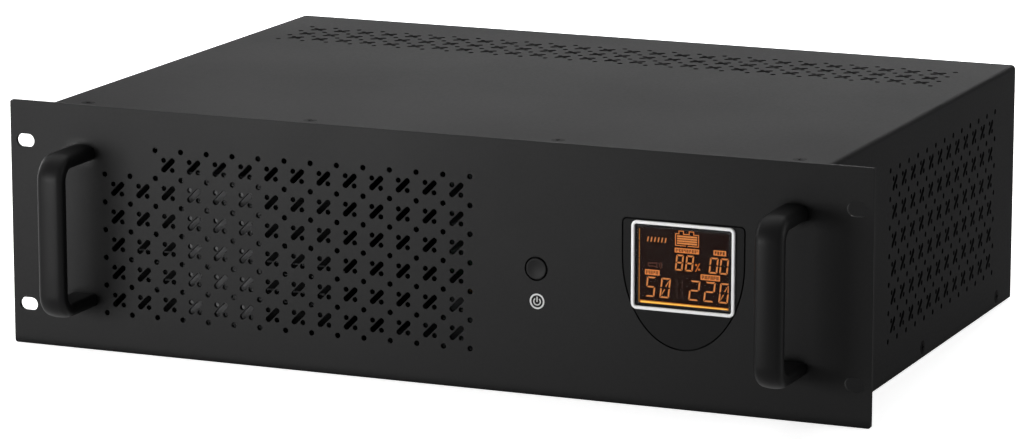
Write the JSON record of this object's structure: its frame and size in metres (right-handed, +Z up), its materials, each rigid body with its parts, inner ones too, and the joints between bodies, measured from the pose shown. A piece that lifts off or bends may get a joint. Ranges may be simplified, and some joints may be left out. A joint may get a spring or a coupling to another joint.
{
  "type": "uninterruptible power supply",
  "caption": "Rack-mount uninterruptible power supply with a pierced front panel, bow handles, lit segment display, power button, vented wrap-round cover, rear sockets and cooling fan.",
  "frame": {"origin": "under the middle of the whole object, on the plane that it stands on", "axes": "+X along the panel to the viewer's right, front faces -Y, +Z up"},
  "size_m": [0.4826, 0.358, 0.132],
  "materials": {
    "panel_paint": "fine black powder coat",
    "cover_paint": "fine black powder coat",
    "black_screw": "black oxide",
    "zinc": "zinc plated",
    "handle_black": "satin moulded plastic",
    "bezel_plastic": "satin moulded plastic",
    "white_plastic": "white moulded trim",
    "window_clear": "clear acrylic",
    "lcd_dark": "dark segment display",
    "black_plastic": "moulded plastic",
    "white_nylon": "natural nylon",
    "board_green": "solder mask",
    "brass": "machined",
    "battery_case": "moulded case",
    "red_insulation": "wire insulation",
    "black_insulation": "wire insulation",
    "grey_insulation": "ribbon insulation",
    "laminations": "varnished laminated steel",
    "winding": "varnished winding and tape",
    "aluminium": "extruded",
    "blue_sleeve": "capacitor sleeve",
    "relay_case": "moulded case",
    "fan_plastic": "moulded plastic",
    "chrome_wire": "plated wire",
    "red_plastic": "moulded plastic"
  },
  "bodies": {
    "case": {"front_panel": "panel_paint", "chassis_base": "zinc", "top_rail": "zinc", "panel_nuts": "zinc", "top_cover": "cover_paint", "cover_screws": "black_screw", "rear_panel": "cover_paint", "rear_screws": "black_screw", "left_handle": "handle_black", "right_handle": "handle_black", "handle_screws": "zinc", "display_bezel": "bezel_plastic", "display_frame": "white_plastic", "display_window": "window_clear", "lcd_module": "lcd_dark", "display_board": "board_green", "display_spacers": "brass", "display_board_screws": "zinc", "button_guide": "black_plastic", "power_switch": "black_plastic", "battery_1": "battery_case", "battery_2": "battery_case", "battery_tabs": "zinc", "battery_strap": "zinc", "battery_strap_screws": "zinc", "battery_link_lead": "red_insulation", "battery_red_lead": "red_insulation", "battery_black_lead": "black_insulation", "transformer_core": "laminations", "transformer_winding": "winding", "transformer_frame": "zinc", "transformer_screws": "zinc", "main_board": "board_green", "board_spacers": "brass", "board_screws": "zinc", "heatsink_1": "aluminium", "heatsink_2": "aluminium", "power_transistors": "black_plastic", "capacitors": "blue_sleeve", "relays": "relay_case", "display_ribbon": "grey_insulation", "fan_frame": "fan_plastic", "fan_guard": "chrome_wire", "fan_screws": "zinc", "inlet_socket": "black_plastic", "inlet_pins": "brass", "outlet_1": "black_plastic", "outlet_2": "black_plastic", "outlet_3": "black_plastic", "outlet_4": "black_plastic", "outlet_contacts": "brass", "breaker_body": "black_plastic", "breaker_nut": "zinc", "usb_port": "zinc", "network_jack": "black_plastic", "comms_board": "board_green"},
    "power_button": {"power_button": "black_plastic", "switch_plunger": "white_nylon"},
    "breaker_button": {"breaker_button": "red_plastic"},
    "fan_rotor": {"fan_rotor": "fan_plastic"}
  },
  "joints": [
    {"name": "power_button_press", "type": "slide", "parent": "case", "child": "power_button", "axis": [0, 1, 0], "range_m": [0, 0.0015], "stiffness_N_per_m": 800},
    {"name": "breaker_trip", "type": "slide", "parent": "case", "child": "breaker_button", "axis": [0, 1, 0], "range_m": [0, 0.004]},
    {"name": "fan_spin", "type": "hinge", "parent": "case", "child": "fan_rotor", "pos_m": [-0.1393, 0.1551, 0.066], "axis": [0, 1, 0], "continuous": true}
  ]
}
